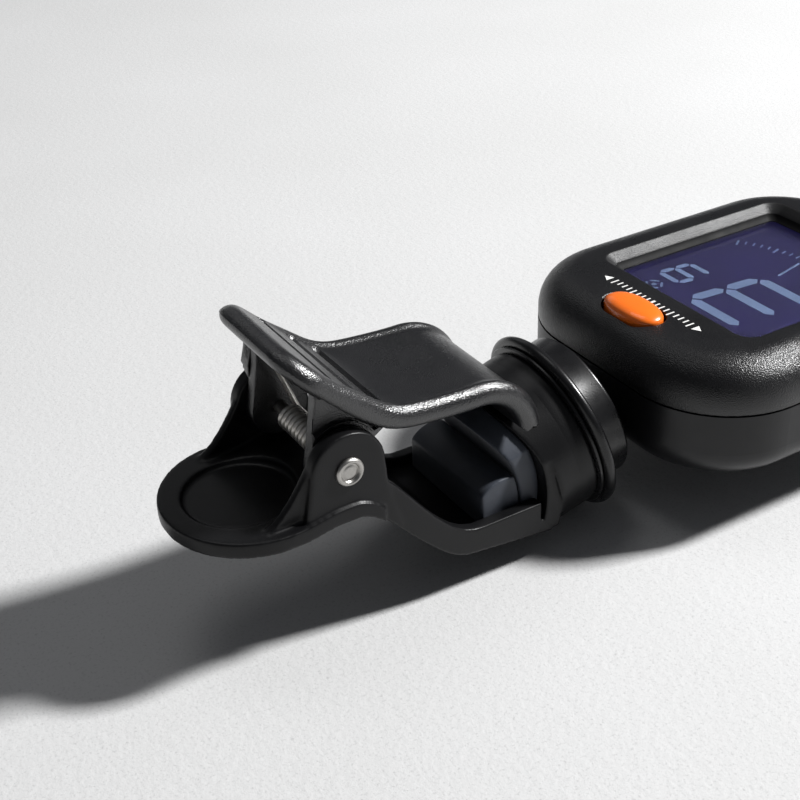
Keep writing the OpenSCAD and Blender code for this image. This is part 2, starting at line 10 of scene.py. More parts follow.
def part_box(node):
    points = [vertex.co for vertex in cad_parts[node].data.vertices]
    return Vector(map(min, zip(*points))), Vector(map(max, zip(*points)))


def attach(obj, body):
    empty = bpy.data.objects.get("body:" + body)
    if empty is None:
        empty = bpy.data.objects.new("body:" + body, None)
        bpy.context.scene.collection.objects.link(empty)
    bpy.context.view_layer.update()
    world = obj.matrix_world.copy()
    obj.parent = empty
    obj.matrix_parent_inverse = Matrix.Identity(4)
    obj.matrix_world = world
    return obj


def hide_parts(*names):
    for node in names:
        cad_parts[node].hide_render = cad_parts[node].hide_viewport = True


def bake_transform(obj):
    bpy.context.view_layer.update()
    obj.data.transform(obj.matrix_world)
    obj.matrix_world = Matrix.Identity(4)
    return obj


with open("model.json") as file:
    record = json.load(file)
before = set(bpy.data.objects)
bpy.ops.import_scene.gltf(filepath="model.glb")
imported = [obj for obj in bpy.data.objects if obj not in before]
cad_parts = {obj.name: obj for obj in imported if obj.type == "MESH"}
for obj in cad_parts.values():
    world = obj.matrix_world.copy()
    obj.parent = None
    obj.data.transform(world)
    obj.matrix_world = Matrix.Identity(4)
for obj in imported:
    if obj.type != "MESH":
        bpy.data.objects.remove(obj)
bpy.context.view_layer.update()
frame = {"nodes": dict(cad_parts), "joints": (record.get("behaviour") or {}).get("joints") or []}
MM = 0.001


# ---------------------------------------------------------------- mesh tools
def new_object(name, verts, faces, smooth=True):
    """A mesh object from points in millimetres."""
    mesh = bpy.data.meshes.new(name)
    mesh.from_pydata([tuple(c * MM for c in v) for v in verts], [], faces)
    mesh.validate()
    bm = bmesh.new()
    bm.from_mesh(mesh)
    bmesh.ops.remove_doubles(bm, verts=bm.verts, dist=1e-7)
    bmesh.ops.recalc_face_normals(bm, faces=bm.faces)
    bm.to_mesh(mesh)
    bm.free()
    obj = bpy.data.objects.new(name, mesh)
    bpy.context.scene.collection.objects.link(obj)
    if smooth:
        shade(obj)
    return obj


def shade(obj, angle=35):
    """Smooth shading, with edges sharper than the angle kept crisp."""
    mesh = obj.data
    mesh.shade_smooth()
    mesh.set_sharp_from_angle(angle=math.radians(angle))


def apply_modifiers(obj):
    graph = bpy.context.evaluated_depsgraph_get()
    mesh = bpy.data.meshes.new_from_object(obj.evaluated_get(graph))
    obj.modifiers.clear()
    obj.data = mesh
    return obj


def loops_solid(name, loops, closed_path=False, caps=True):
    """A closed skin over rings of equal length, in millimetres."""
    count = len(loops[0])
    verts = [p for loop in loops for p in loop]
    faces = []
    rows = len(loops) if closed_path else len(loops) - 1
    for i in range(rows):
        a, b = i * count, ((i + 1) % len(loops)) * count
        for k in range(count):
            n = (k + 1) % count
            faces.append((a + k, a + n, b + n, b + k))
    if caps and not closed_path:
        faces.append(tuple(range(count))[::-1])
        faces.append(tuple((len(loops) - 1) * count + k for k in range(count)))
    return new_object(name, verts, faces)


def lathe(name, profile, steps=96, closed=False):
    """Turns (radius, height) pairs round Z. A radius of 0 makes a pole."""
    loops = []
    for r, z in profile:
        loops.append([(max(r, 1e-5) * math.cos(2 * math.pi * k / steps),
                       max(r, 1e-5) * math.sin(2 * math.pi * k / steps), z)
                      for k in range(steps)])
    return loops_solid(name, loops, closed_path=closed)


def place(obj, matrix):
    obj.data.transform(matrix)
    obj.data.update()
    return obj


def rounded_rect(length, width, corner, per_corner=14, per_side=6):
    """Points round a rectangle with round corners, the same count for every size."""
    pts = []
    hx, hy = length / 2 - corner, width / 2 - corner
    centres = [(hx, hy, 0), (-hx, hy, 90), (-hx, -hy, 180), (hx, -hy, 270)]
    for i, (cx, cy, start) in enumerate(centres):
        arc = []
        for k in range(per_corner + 1):
            a = math.radians(start + 90 * k / per_corner)
            arc.append((cx + corner * math.cos(a), cy + corner * math.sin(a)))
        pts += arc
        nx, ny, ns = centres[(i + 1) % 4]
        a = math.radians(ns)
        end = (nx + corner * math.cos(a), ny + corner * math.sin(a))
        for k in range(1, per_side):
            t = k / per_side
            pts.append((arc[-1][0] * (1 - t) + end[0] * t, arc[-1][1] * (1 - t) + end[1] * t))
    return pts


def soft_copy(name, node, voxel, rounds, edge=0.5):
    """A moulded version of a CAD node: the same solid with its edges rounded off."""
    source = frame["nodes"][node]
    obj = bpy.data.objects.new(name, source.data.copy())
    bpy.context.scene.collection.objects.link(obj)
    obj.data.materials.clear()
    remesh = obj.modifiers.new("Remesh", "REMESH")
    remesh.mode = "VOXEL"
    remesh.voxel_size = voxel * MM
    smooth = obj.modifiers.new("Smooth", "SMOOTH")
    smooth.factor = edge
    smooth.iterations = rounds
    apply_modifiers(obj)
    obj.data.shade_smooth()
    return obj


# ---------------------------------------------------------------- materials
class Nodes:
    """A short way to wire a material's nodes."""

    def __init__(self, name):
        self.material = bpy.data.materials.new(name)
        self.material.use_nodes = True
        self.tree = self.material.node_tree
        self.bsdf = self.tree.nodes["Principled BSDF"]
        self.coord = self.tree.nodes.new("ShaderNodeTexCoord").outputs["Object"]

    def add(self, kind, **values):
        node = self.tree.nodes.new("ShaderNode" + kind)
        for key, value in values.items():
            if hasattr(node, key):
                setattr(node, key, value)
            else:
                self.put(node.inputs[key.replace("_", " ")], value)
        return node

    def put(self, socket, value):
        if isinstance(value, bpy.types.NodeSocket):
            self.tree.links.new(value, socket)
        else:
            socket.default_value = value

    def noise(self, scale, detail=4, roughness=0.55, distortion=0.0, vector=None):
        n = self.add("TexNoise", Scale=scale, Detail=detail, Roughness=roughness,
                     Distortion=distortion, Vector=vector or self.coord)
        return n.outputs["Fac"]

    def map(self, value, low, high, to_low, to_high):
        n = self.add("MapRange")
        self.put(n.inputs["Value"], value)
        for key, v in (("From Min", low), ("From Max", high), ("To Min", to_low), ("To Max", to_high)):
            n.inputs[key].default_value = v
        return n.outputs["Result"]

    def math(self, operation, a, b=0.0, clamp=False):
        n = self.add("Math", operation=operation, use_clamp=clamp)
        self.put(n.inputs[0], a)
        self.put(n.inputs[1], b)
        return n.outputs[0]

    def mix(self, fac, a, b):
        n = self.tree.nodes.new("ShaderNodeMix")
        n.data_type = "RGBA"
        self.put(n.inputs["Factor"], fac)
        self.put(n.inputs[6], a if isinstance(a, bpy.types.NodeSocket) else (*a, 1))
        self.put(n.inputs[7], b if isinstance(b, bpy.types.NodeSocket) else (*b, 1))
        return n.outputs[2]

    def bump(self, height, strength, distance, below=None):
        n = self.add("Bump", Height=height, Strength=strength, Distance=distance)
        if below is not None:
            self.put(n.inputs["Normal"], below)
        return n.outputs["Normal"]

    def finish(self, colour, roughness, normal=None, **constants):
        self.put(self.bsdf.inputs["Base Color"],
                 colour if isinstance(colour, bpy.types.NodeSocket) else (*colour, 1))
        self.put(self.bsdf.inputs["Roughness"], roughness)
        if normal is not None:
            self.put(self.bsdf.inputs["Normal"], normal)
        for key, value in constants.items():
            self.bsdf.inputs[key.replace("_", " ")].default_value = value
        return self.material


def grained_plastic(name, colour, rough, grain, depth, specular=0.5):
    """Black moulded plastic with a spark-eroded grain and faint handling marks."""
    n = Nodes(name)
    pebble = n.add("TexVoronoi", Scale=grain, Vector=n.coord).outputs["Distance"]
    fine = n.noise(grain * 1.3, 2, 0.5)
    patchy = n.noise(180, 4, 0.6)
    wear = n.noise(900, 5, 0.7, 0.4)
    light = tuple(c * 1.5 + 0.001 for c in colour)
    tone = n.mix(n.map(patchy, 0.3, 0.75, 0, 1), colour, light)
    height = n.math("ADD", n.math("MULTIPLY", pebble, 0.9), n.math("MULTIPLY", fine, 0.6))
    roughness = n.math("ADD", n.map(patchy, 0.3, 0.7, rough - 0.04, rough + 0.05),
                       n.map(wear, 0.62, 0.8, 0.0, -0.05))
    return n.finish(tone, roughness, n.bump(height, 0.75, depth * MM),
                    Specular_IOR_Level=specular)


def satin_plastic(name, colour, rough, specular=0.5):
    """Smooth black shell plastic: very fine texture, soft sheen."""
    n = Nodes(name)
    fine = n.noise(9000, 3, 0.6)
    slow = n.noise(120, 3, 0.5)
    light = tuple(c * 1.5 + 0.002 for c in colour)
    tone = n.mix(n.map(slow, 0.35, 0.7, 0, 1), colour, light)
    roughness = n.map(n.noise(600, 4, 0.6), 0.3, 0.7, rough - 0.03, rough + 0.05)
    return n.finish(tone, roughness, n.bump(fine, 0.5, 0.012 * MM), Specular_IOR_Level=specular)


def metal(name, colour, rough, streak=(400, 400, 4000), depth=0.004):
    """Drawn or turned metal with fine streaks."""
    n = Nodes(name)
    stretched = n.add("Mapping", Vector=n.coord)
    stretched.inputs["Scale"].default_value = streak
    lines = n.noise(1.0, 5, 0.65, vector=stretched.outputs["Vector"])
    cloud = n.noise(700, 3, 0.5)
    dark = tuple(c * 0.72 for c in colour)
    tone = n.mix(n.map(cloud, 0.35, 0.75, 0, 1), colour, dark)
    roughness = n.map(lines, 0.3, 0.7, rough - 0.06, rough + 0.1)
    return n.finish(tone, roughness, n.bump(lines, 0.4, depth * MM), Metallic=1.0)


def rubber(name, colour, rough=0.52):
    """Soft pad rubber: a blue-grey bloom over fine pores."""
    n = Nodes(name)
    pores = n.noise(7000, 4, 0.65)
    bloom = n.noise(420, 4, 0.6, 0.3)
    pale = tuple(c * 1.45 + 0.006 for c in colour)
    tone = n.mix(n.map(bloom, 0.35, 0.72, 0, 1), colour, pale)
    roughness = n.map(bloom, 0.3, 0.7, rough - 0.05, rough + 0.08)
    return n.finish(tone, roughness, n.bump(pores, 0.5, 0.015 * MM),
                    Sheen_Weight=0.12, Sheen_Roughness=0.5, Specular_IOR_Level=0.45)


def glossy(name, colour, rough, coat=0.4, depth=0.01, variation=0.12, **extra):
    """Glossy moulded plastic with a slight orange peel."""
    n = Nodes(name)
    peel = n.noise(1500, 3, 0.5)
    slow = n.noise(260, 3, 0.5)
    dark = tuple(c * (1 - variation) for c in colour)
    tone = n.mix(n.map(slow, 0.35, 0.7, 0, 1), colour, dark)
    roughness = n.map(slow, 0.3, 0.7, rough - 0.03, rough + 0.04)
    return n.finish(tone, roughness, n.bump(peel, 0.3, depth * MM),
                    Coat_Weight=coat, Coat_Roughness=0.08, **extra)


PLASTIC = grained_plastic("grained_black", (0.0042, 0.0042, 0.0048), 0.28, 9500, 0.03, 0.9)
LOWER = grained_plastic("lower_black", (0.0032, 0.0032, 0.0036), 0.36, 9500, 0.006, 0.25)
HEAD_TOP = grained_plastic("head_grain", (0.004, 0.004, 0.0046), 0.3, 10500, 0.036, 0.5)
SATIN = satin_plastic("satin_black", (0.0042, 0.0042, 0.005), 0.36, 0.34)
NECK = satin_plastic("neck_black", (0.004, 0.004, 0.0045), 0.27, 0.4)
RIM = grained_plastic("window_rim", (0.005, 0.005, 0.0055), 0.45, 11500, 0.02, 0.35)
# A darker, duller copy of the shell plastic for the window's inner wall: painted shade in the recess.
PAINTED_SHADE_WELL = satin_plastic("window_well_painted_shade", (0.0015, 0.0015, 0.0018), 0.6, 0.12)
PAD = rubber("pad_rubber", (0.022, 0.027, 0.038))
GREY_RUBBER = rubber("contact_rubber", (0.16, 0.155, 0.15), 0.6)
STEEL = metal("spring_steel", (0.85, 0.82, 0.77), 0.4)
BRIGHT = metal("bright_steel", (0.5, 0.485, 0.46), 0.34, (900, 900, 900), 0.006)
BLACK_STEEL = metal("black_oxide", (0.05, 0.05, 0.055), 0.35)
BRASS = metal("contact_brass", (0.78, 0.58, 0.27), 0.25)
ORANGE = glossy("orange_gloss", (0.9, 0.17, 0.012), 0.26, 0.35, Specular_IOR_Level=0.5,
                Subsurface_Weight=0.0)
WHITE = glossy("white_plastic", (0.75, 0.75, 0.73), 0.5, 0.0)
BOARD = glossy("solder_mask", (0.015, 0.1, 0.04), 0.35, 0.3, 0.02, 0.35)
CHIP = grained_plastic("chip_black", (0.012, 0.012, 0.012), 0.5, 9000, 0.01)
PRINT = glossy("print_white", (0.78, 0.78, 0.76), 0.55, 0.0)


def glass_material():
    n = Nodes("clear_lens")
    smear = n.noise(160, 4, 0.6, 0.8)
    material = n.finish((0.96, 0.97, 1.0), n.map(smear, 0.4, 0.8, 0.03, 0.09),
                        n.bump(n.noise(90, 2, 0.5), 0.02, 0.002 * MM),
                        Transmission_Weight=1.0, IOR=1.45)
    return material


def lcd_material():
    """The dark blue-violet field of the display, a little lighter in slow random patches."""
    n = Nodes("lcd_field")
    weave = n.add("TexChecker", Scale=9000, Vector=n.coord).outputs["Fac"]
    glow = n.noise(45, 2, 0.5)
    tone = n.mix(n.map(glow, 0.3, 0.7, 0, 1), (0.011, 0.009, 0.05), (0.02, 0.016, 0.085))
    tone = n.mix(n.math("MULTIPLY", weave, 0.12), tone, (0.006, 0.005, 0.03))
    n.put(n.bsdf.inputs["Emission Color"], tone)
    n.bsdf.inputs["Emission Strength"].default_value = 0.55
    return n.finish(tone, n.map(glow, 0.3, 0.7, 0.3, 0.4))


def segment_material(name, colour, strength):
    n = Nodes(name)
    glow = n.noise(300, 3, 0.5)
    tone = n.mix(n.map(glow, 0.3, 0.7, 0, 1), colour, tuple(c * 0.85 for c in colour))
    n.put(n.bsdf.inputs["Emission Color"], tone)
    n.bsdf.inputs["Emission Strength"].default_value = strength
    return n.finish(tone, n.map(glow, 0.3, 0.7, 0.4, 0.5))


LENS = glass_material()
FIELD = lcd_material()
SEGMENT = segment_material("lcd_segment", (0.14, 0.195, 0.32), 0.6)


def dress(obj, material, body=None, replaces=()):
    obj.data.materials.clear()
    obj.data.materials.append(material)
    if body:
        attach(obj, body)
    if replaces:
        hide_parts(*replaces)
    return obj


# ---------------------------------------------------------------- places taken from the frame
def mm_box(node):
    low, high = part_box(node)
    return np.array(low) / MM, np.array(high) / MM


head_low, head_high = mm_box("front_cover")
rear_low, rear_high = mm_box("rear_cover")
lens_low, lens_high = mm_box("display_lens")
lcd_high = mm_box("lcd_panel")[1]
button_low, button_high = mm_box("power_button")
pin_low, pin_high = mm_box("pivot_pin")
joints = {j["name"]: j for j in frame["joints"]}
pivot = np.array(joints["clip_hinge"]["pos_m"]) / MM
swivel_at = Vector(joints["swivel"]["pos_m"])
swivel_axis = Vector(joints["swivel"]["axis"]).normalized()

HEAD_LENGTH = head_high[0] - head_low[0]
HEAD_WIDTH = head_high[1] - head_low[1]
HEAD_TOP_Z = head_high[2]
HEAD_MID = (head_low[0] + head_high[0]) / 2
PARTING = rear_high[2] + 0.06
CORNER = 8.0
TOP_ROUND = 3.2
WALL = 1.1


# ---------------------------------------------------------------- head shells
def head_ring(inset, z, corner=CORNER):
    ring = rounded_rect(HEAD_LENGTH - 2 * inset, HEAD_WIDTH - 2 * inset, corner - inset)
    return [(HEAD_MID + x, y, z) for x, y in ring]


def window_ring(grow, z, corner):
    mid = (lens_low[0] + lens_high[0]) / 2
    length = lens_high[0] - lens_low[0]
    width = lens_high[1] - lens_low[1]
    ring = rounded_rect(length + 2 * grow, width + 2 * grow, corner)
    return [(mid + x, y, z) for x, y in ring]


# Outward reach, drop below the top face and corner radius of each ring of the window's edge
WINDOW_RIM = [(0.12, 0.0, 1.5), (0.05, 0.015, 1.45), (-0.02, 0.07, 1.4), (-0.62, 0.6, 0.95),
              (-0.7, 0.69, 0.9), (-0.75, 0.8, 0.86), (-1.1, 1.12, 0.6), (-1.18, 1.16, 0.52)]


def front_shell():
    top, edge = HEAD_TOP_Z, PARTING + 0.02
    rings = []
    # Inside of the wall, from the window out to the parting line
    rings.append(window_ring(-1.2, top - 1.32, 0.5))
    rings.append(head_ring(TOP_ROUND + 0.5, top - WALL - 0.25))
    for a in np.linspace(90, 0, 7):
        r = TOP_ROUND - WALL
        rings.append(head_ring(WALL + r - r * math.cos(math.radians(a)),
                               top - WALL - r + r * math.sin(math.radians(a))))
    rings.append(head_ring(WALL, edge + 0.03))
    rings.append(head_ring(WALL - 0.03, edge))
    # Parting edge, then the outside up and over to the window's rim
    rings.append(head_ring(0.16, edge))
    rings.append(head_ring(0.05, edge + 0.04))
    rings.append(head_ring(0.0, edge + 0.14))
    for a in np.linspace(0, 90, 15):
        r = TOP_ROUND
        rings.append(head_ring(r - r * math.cos(math.radians(a)), top - r + r * math.sin(math.radians(a))))
    rings.append(window_ring(0.55, top, 1.9))
    for grow, drop, corner in WINDOW_RIM:
        rings.append(window_ring(grow, top - drop, corner))
    return loops_solid("front_shell", rings, closed_path=True)


def oval_ring(cx, half_x, half_y, z, steps=48):
    """An oval of two round ends, longer along Y."""
    reach = half_y - half_x
    pts = []
    for k in range(steps):
        a = 2 * math.pi * k / steps
        side = 1 if math.sin(a) >= 0 else -1
        pts.append((cx + half_x * math.cos(a), side * reach + half_x * math.sin(a), z))
    return pts


BUTTON_X = (button_low[0] + button_high[0]) / 2
BUTTON_HX = 1.6
BUTTON_HY = 2.9


def cut(obj, cutter):
    modifier = obj.modifiers.new("Cut", "BOOLEAN")
    modifier.operation = "DIFFERENCE"
    modifier.solver = "EXACT"
    modifier.object = cutter
    apply_modifiers(obj)
    bpy.data.objects.remove(cutter)
    return obj


def build_front():
    shell = front_shell()
    top = HEAD_TOP_Z
    hole = loops_solid("hole", [oval_ring(BUTTON_X, BUTTON_HX + 0.1, BUTTON_HY + 0.1, top - 3),
                                oval_ring(BUTTON_X, BUTTON_HX + 0.1, BUTTON_HY + 0.1, top - 0.16),
                                oval_ring(BUTTON_X, BUTTON_HX + 0.16, BUTTON_HY + 0.16, top - 0.05),
                                oval_ring(BUTTON_X, BUTTON_HX + 0.32, BUTTON_HY + 0.32, top + 0.05)])
    cut(shell, hole)
    shade(shell, 28)
    dress(shell, HEAD_TOP, "head", ["front_cover"])
    shell.data.materials.append(RIM)
    shell.data.materials.append(PAINTED_SHADE_WELL)
    mid = (lens_low[0] + lens_high[0]) / 2
    reach_x, reach_y = (lens_high[0] - lens_low[0]) / 2 + 0.1, lens_high[1] + 0.1
    # Chamfer faces take the rim plastic; the inner wall below takes the darker copy, as painted shade in
    # the window's recess.
    for face in shell.data.polygons:
        x, y, z = (c / MM for c in face.center)
        chamfer = top - 0.66 < z < top - 0.005
        if chamfer and abs(x - mid) < reach_x and abs(y) < reach_y and face.normal.z > 0.2:
            face.material_index = 1
        elif z < top - 0.6 and abs(x - mid) < reach_x - 0.5 and abs(y) < reach_y - 0.5:
            face.material_index = 2
    return shell


build_front()


rear = frame["nodes"]["rear_cover"]
rear.data.materials.clear()
rear.data.materials.append(SATIN)
door = frame["nodes"]["battery_door"]
door.data.materials.clear()
door.data.materials.append(SATIN)


# ---------------------------------------------------------------- display
def stroke_shape(a, b, width, taper=0.5):
    """Outline of a bar with pointed ends, like a segment of a digit."""
    a, b = np.array(a, float), np.array(b, float)
    d = (b - a) / np.linalg.norm(b - a)
    n = np.array([-d[1], d[0]]) * width / 2
    c = d * width * taper
    return [tuple(p) for p in (a, a + c + n, b - c + n, b, b - c - n, a + c - n)]


def to_head(points):
    """From the display's own right and up to the head's X and Y."""
    return [(v, -u) for u, v in points]


def prism_set(name, outlines, z, thickness, material, body="head"):
    verts, faces = [], []
    for outline in outlines:
        base = len(verts)
        count = len(outline)
        verts += [(x, y, z - thickness) for x, y in outline] + [(x, y, z) for x, y in outline]
        faces.append(tuple(base + k for k in range(count))[::-1])
        faces.append(tuple(base + count + k for k in range(count)))
        for k in range(count):
            n = (k + 1) % count
            faces.append((base + k, base + n, base + count + n, base + count + k))
    obj = new_object(name, verts, faces, smooth=False)
    return dress(obj, material, body)


LCD_Z = lcd_high[2]
display_shapes = []


def letter(segments, at, width, height, bar, lean):
    """Seven-segment shapes; at is the lower left corner in the display's right and up."""
    x0, y0 = at
    m = bar * 0.5
    ends = {
        "a": ((0, 1), (1, 1)), "b": ((1, 1), (1, 0.5)), "c": ((1, 0.5), (1, 0)),
        "d": ((1, 0), (0, 0)), "e": ((0, 0), (0, 0.5)), "f": ((0, 0.5), (0, 1)),
        "g": ((0, 0.5), (1, 0.5))}
    out = []
    for s in segments:
        (ax, ay), (bx, by) = ends[s]
        a = np.array([x0 + ax * width, y0 + ay * height])
        b = np.array([x0 + bx * width, y0 + by * height])
        d = (b - a) / np.linalg.norm(b - a) * m * 0.35
        shape = stroke_shape(a + d, b - d, bar)
        out.append(to_head([(u + lean * (v - y0), v) for u, v in shape]))
    return out


# The big note sits at the middle, the string's number small at its left
display_shapes += letter("adefg", (-0.9, 12.3), 5.7, 6.9, 0.95, 0.09)
display_shapes += letter("acdefg", (-6.0, 13.4), 2.4, 3.1, 0.5, 0.09)
prism_set("lcd_characters", display_shapes, LCD_Z + 0.045, 0.03, SEGMENT)


def arc_marks():
    """A meter's scale over the note: long marks at its ends and middle, short ones between."""
    marks = []
    centre = (0.0, 13.0)
    for i in range(-10, 11):
        a = math.radians(i * 3.4)
        long_mark = i % 5 == 0
        r0 = 11.2 if long_mark else 11.55
        r1 = 12.1
        w = 0.17 if long_mark else 0.11
        p0 = (centre[0] + r0 * math.sin(a), centre[1] + r0 * math.cos(a))
        p1 = (centre[0] + r1 * math.sin(a), centre[1] + r1 * math.cos(a))
        marks.append(to_head(stroke_shape(p0, p1, w, 0.2)))
    marks.append(to_head(stroke_shape((0.2, 20.9), (-0.5, 24.0), 0.2, 0.3)))
    return marks


prism_set("lcd_meter", arc_marks(), LCD_Z + 0.045, 0.03, SEGMENT)
# A small plain sign for the pick-up source: a dot inside a ring of four bars
sign = []
for k in range(4):
    a = math.radians(45 + 90 * k)
    c = np.array([-4.6, 11.6])
    p = c + 0.62 * np.array([math.cos(a), math.sin(a)])
    t = 0.42 * np.array([-math.sin(a), math.cos(a)])
    sign.append(to_head(stroke_shape(p - t, p + t, 0.2)))
sign.append(to_head([(-4.6 + 0.22 * math.cos(a), 11.6 + 0.22 * math.sin(a))
                     for a in np.linspace(0, 2 * math.pi, 12, endpoint=False)]))
prism_set("lcd_sign", sign, LCD_Z + 0.045, 0.03, SEGMENT)

panel = frame["nodes"]["lcd_panel"]
panel.data.materials.clear()
panel.data.materials.append(FIELD)


def lens_piece():
    low, high = lens_low[2], lens_high[2]
    rings = [window_ring(-0.06, low, 1.0), window_ring(0.0, low + 0.06, 1.0),
             window_ring(0.0, high - 0.06, 1.0), window_ring(-0.06, high, 0.94)]
    lens = loops_solid("lens_pane", rings)
    return dress(lens, LENS, "head", ["display_lens"])


lens_piece()

# Cents scale printed between the button and the window: a centre mark, steps and two arrows
ticks = []
TICK_X = 7.35
for i in range(-8, 9):
    long_mark = i % 4 == 0
    h = 0.62 if i == 0 else 0.48 if long_mark else 0.26
    w = 0.22 if i == 0 else 0.13
    y = i * 0.56
    ticks.append([(TICK_X - h, y - w / 2), (TICK_X + 0.35, y - w / 2),
                  (TICK_X + 0.35, y + w / 2), (TICK_X - h, y + w / 2)])
for side in (-1, 1):
    y = side * 5.35
    ticks.append([(TICK_X - 0.45, y - 0.3 * side), (TICK_X + 0.35, y - 0.3 * side),
                  (TICK_X - 0.05, y + 0.4 * side)][::side])
prism_set("cents_scale", ticks, HEAD_TOP_Z + 0.012, 0.02, PRINT)


# ---------------------------------------------------------------- button
def lens_ring(half_x, half_y, z, power=2.25, steps=64):
    """A ring between an oval and an ellipse, a little fuller than an ellipse."""
    pts = []
    for k in range(steps):
        a = 2 * math.pi * k / steps
        c, s = math.cos(a), math.sin(a)
        pts.append((BUTTON_X + half_x * math.copysign(abs(c) ** (2 / power), c),
                    half_y * math.copysign(abs(s) ** (2 / power), s), z))
    return pts


def button_piece():
    top = HEAD_TOP_Z
    rise = button_high[2] - top
    hx, hy = BUTTON_HX - 0.02, BUTTON_HY + 0.02
    rings = [lens_ring(hx + 0.2, hy + 0.15, top - 1.8), lens_ring(hx + 0.24, hy + 0.18, top - 1.25),
             lens_ring(hx, hy, top - 1.2), lens_ring(hx, hy, top - 0.06)]
    for t in np.linspace(0.04, 0.995, 18):
        reach = math.cos(t * math.pi / 2)
        rings.append(lens_ring(hx * reach ** 0.62, hy * reach ** 0.62,
                               top - 0.06 + (rise + 0.06) * math.sin(t * math.pi / 2) ** 1.0))
    piece = loops_solid("oval_button", rings)
    shade(piece, 50)
    return dress(piece, ORANGE, "button", ["power_button"])


button_piece()

# ---------------------------------------------------------------- clip plastics
VOXEL = 0.1


def ease(t):
    t = np.clip(t, 0, 1)
    return t * t * (3 - 2 * t)


def union(obj, others):
    for other in others:
        modifier = obj.modifiers.new("Union", "BOOLEAN")
        modifier.operation = "UNION"
        modifier.solver = "EXACT"
        modifier.object = other
        apply_modifiers(obj)
        bpy.data.objects.remove(other)
    return obj


def side_prism(name, outline, y0, y1, edge=0.12):
    """A plate standing along X and Z between two distances across, with softened edges."""
    loops = [[(x, y, z) for x, z in outline] for y in (y0, y1)]
    obj = loops_solid(name, loops)
    bevel = obj.modifiers.new("Bevel", "BEVEL")
    bevel.width = edge * MM
    bevel.segments = 2
    bevel.limit_method = "ANGLE"
    bevel.angle_limit = math.radians(40)
    return apply_modifiers(obj)


def arc(cx, cz, r, start, end, steps=24):
    return [(cx + r * math.cos(math.radians(a)), cz + r * math.sin(math.radians(a)))
            for a in np.linspace(start, end, steps)]


UPPER_PLATE = 1.5
UPPER_HALF = 6.0
REAR_X = -26.7
GROOVE_DEPTH, GROOVE_HALF_WIDTH, GROOVE_SOFT = 0.62, 0.2, 0.26
GROOVE_X = (-24.0, -22.0, -20.3)
GROOVE_REACH = (4.7, 4.5, 4.2)
PIN_HOLE_RADIUS = 0.55
NOSE = (-12.8, 11.6)


def upper_z(x):
    return 16.9 - 0.2 * float(ease((x + 18) / 5)) + math.log(1 + math.exp(-19.8 - x))


def upper_path():
    """Points along the top of the thumb lever, evenly spaced, with their outward directions."""
    dense = [(x, upper_z(x)) for x in np.linspace(REAR_X, NOSE[0], 800)]
    reach = upper_z(NOSE[0]) - NOSE[1]
    dense += [(NOSE[0] + reach * math.cos(a), NOSE[1] + reach * math.sin(a))
              for a in np.linspace(math.pi / 2, math.radians(4.2), 400)[1:]]
    dense = np.array(dense)
    length = np.concatenate([[0], np.cumsum(np.linalg.norm(np.diff(dense, axis=0), axis=1))])

    def at(s):
        p = np.array([np.interp(s, length, dense[:, 0]), np.interp(s, length, dense[:, 1])])
        d = 0.05
        q = np.array([np.interp(s + d, length, dense[:, 0]), np.interp(s + d, length, dense[:, 1])])
        r = np.array([np.interp(s - d, length, dense[:, 0]), np.interp(s - d, length, dense[:, 1])])
        t = (q - r) / np.linalg.norm(q - r)
        return p, np.array([-t[1], t[0]])
    return at, length[-1]


